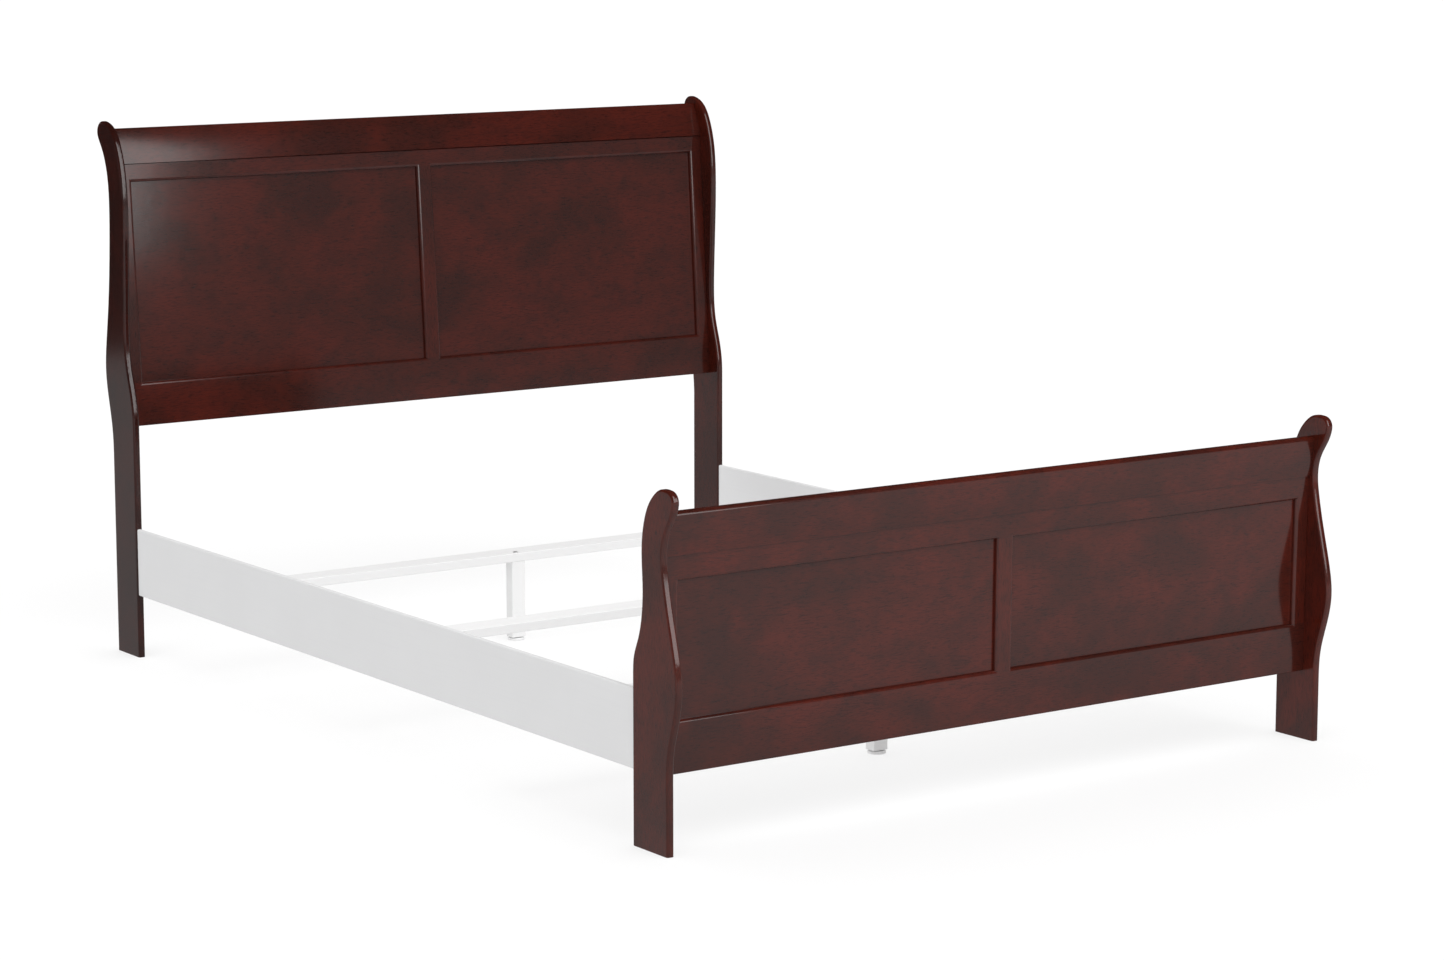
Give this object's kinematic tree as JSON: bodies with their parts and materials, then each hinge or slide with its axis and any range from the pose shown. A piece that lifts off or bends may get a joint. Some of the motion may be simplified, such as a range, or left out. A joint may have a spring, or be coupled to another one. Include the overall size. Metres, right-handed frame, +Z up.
{
  "type": "sleigh bed",
  "caption": "Queen-size wooden sleigh bed with scrolled end posts, framed panels, hook-on side rails and cross slats on adjustable centre legs.",
  "frame": {"origin": "on the floor, under the middle of the bed's overall length and width", "axes": "+Z up, +Y towards the head end, +X to the right of someone standing at the foot"},
  "size_m": [1.654, 2.3624, 1.235],
  "materials": {
    "cherry_veneer": "high-gloss lacquered dark cherry veneer, fine straight grain with mottled figure",
    "plug_wood": "lacquered cherry plug, end grain, a little lighter than the posts",
    "dowel_wood": "plain birch, fluted",
    "pale_rail": "satin pale grey paint over fine wood grain",
    "pale_slat": "matt white-washed softwood",
    "black_steel": "black oxide",
    "zinc_steel": "bright zinc plate",
    "painted_steel": "filled flush and painted over with the rail's satin pale grey",
    "grey_nylon": "moulded pale grey nylon"
  },
  "bodies": {
    "bed_frame": {"headboard_post_left": "cherry_veneer", "headboard_panel_left": "cherry_veneer", "headboard_post_right": "cherry_veneer", "headboard_panel_right": "cherry_veneer", "headboard_lower_rail": "cherry_veneer", "headboard_upper_rail": "cherry_veneer", "headboard_crest_rail": "cherry_veneer", "headboard_stile_left": "cherry_veneer", "headboard_stile_centre": "cherry_veneer", "headboard_stile_right": "cherry_veneer", "headboard_rail_dowels": "dowel_wood", "headboard_crest_dowels": "dowel_wood", "headboard_crest_screws": "zinc_steel", "headboard_screw_plugs": "plug_wood", "footboard_post_left": "cherry_veneer", "footboard_panel_left": "cherry_veneer", "footboard_post_right": "cherry_veneer", "footboard_panel_right": "cherry_veneer", "footboard_lower_rail": "cherry_veneer", "footboard_upper_rail": "cherry_veneer", "footboard_crest_rail": "cherry_veneer", "footboard_stile_left": "cherry_veneer", "footboard_stile_centre": "cherry_veneer", "footboard_stile_right": "cherry_veneer", "footboard_rail_dowels": "dowel_wood", "footboard_crest_dowels": "dowel_wood", "footboard_crest_screws": "zinc_steel", "footboard_screw_plugs": "plug_wood", "side_rail_left": "pale_rail", "rail_cleat_left": "pale_slat", "hook_plate_head_left": "black_steel", "hook_plate_foot_left": "black_steel", "side_rail_right": "pale_rail", "rail_cleat_right": "pale_slat", "hook_plate_head_right": "black_steel", "hook_plate_foot_right": "black_steel", "hook_plate_screws": "painted_steel", "hook_pins": "zinc_steel", "cleat_screws": "zinc_steel", "slat_head": "pale_slat", "centre_leg_head": "pale_slat", "slat_centre": "pale_slat", "centre_leg_centre": "pale_slat", "slat_foot": "pale_slat", "centre_leg_foot": "pale_slat", "slat_screws": "zinc_steel", "leg_bolts": "zinc_steel", "leg_inserts": "zinc_steel", "leg_t_nuts": "zinc_steel"},
    "levelling_glide_head": {"glide_stem_head": "zinc_steel", "glide_pad_head": "grey_nylon"},
    "levelling_glide_centre": {"glide_stem_centre": "zinc_steel", "glide_pad_centre": "grey_nylon"},
    "levelling_glide_foot": {"glide_stem_foot": "zinc_steel", "glide_pad_foot": "grey_nylon"}
  },
  "joints": [
    {"name": "glide_head_height", "type": "slide", "parent": "bed_frame", "child": "levelling_glide_head", "axis": [0, 0, -1], "range_m": [-0.0015, 0.014]},
    {"name": "glide_centre_height", "type": "slide", "parent": "bed_frame", "child": "levelling_glide_centre", "axis": [0, 0, -1], "range_m": [-0.0015, 0.014]},
    {"name": "glide_foot_height", "type": "slide", "parent": "bed_frame", "child": "levelling_glide_foot", "axis": [0, 0, -1], "range_m": [-0.0015, 0.014]}
  ]
}
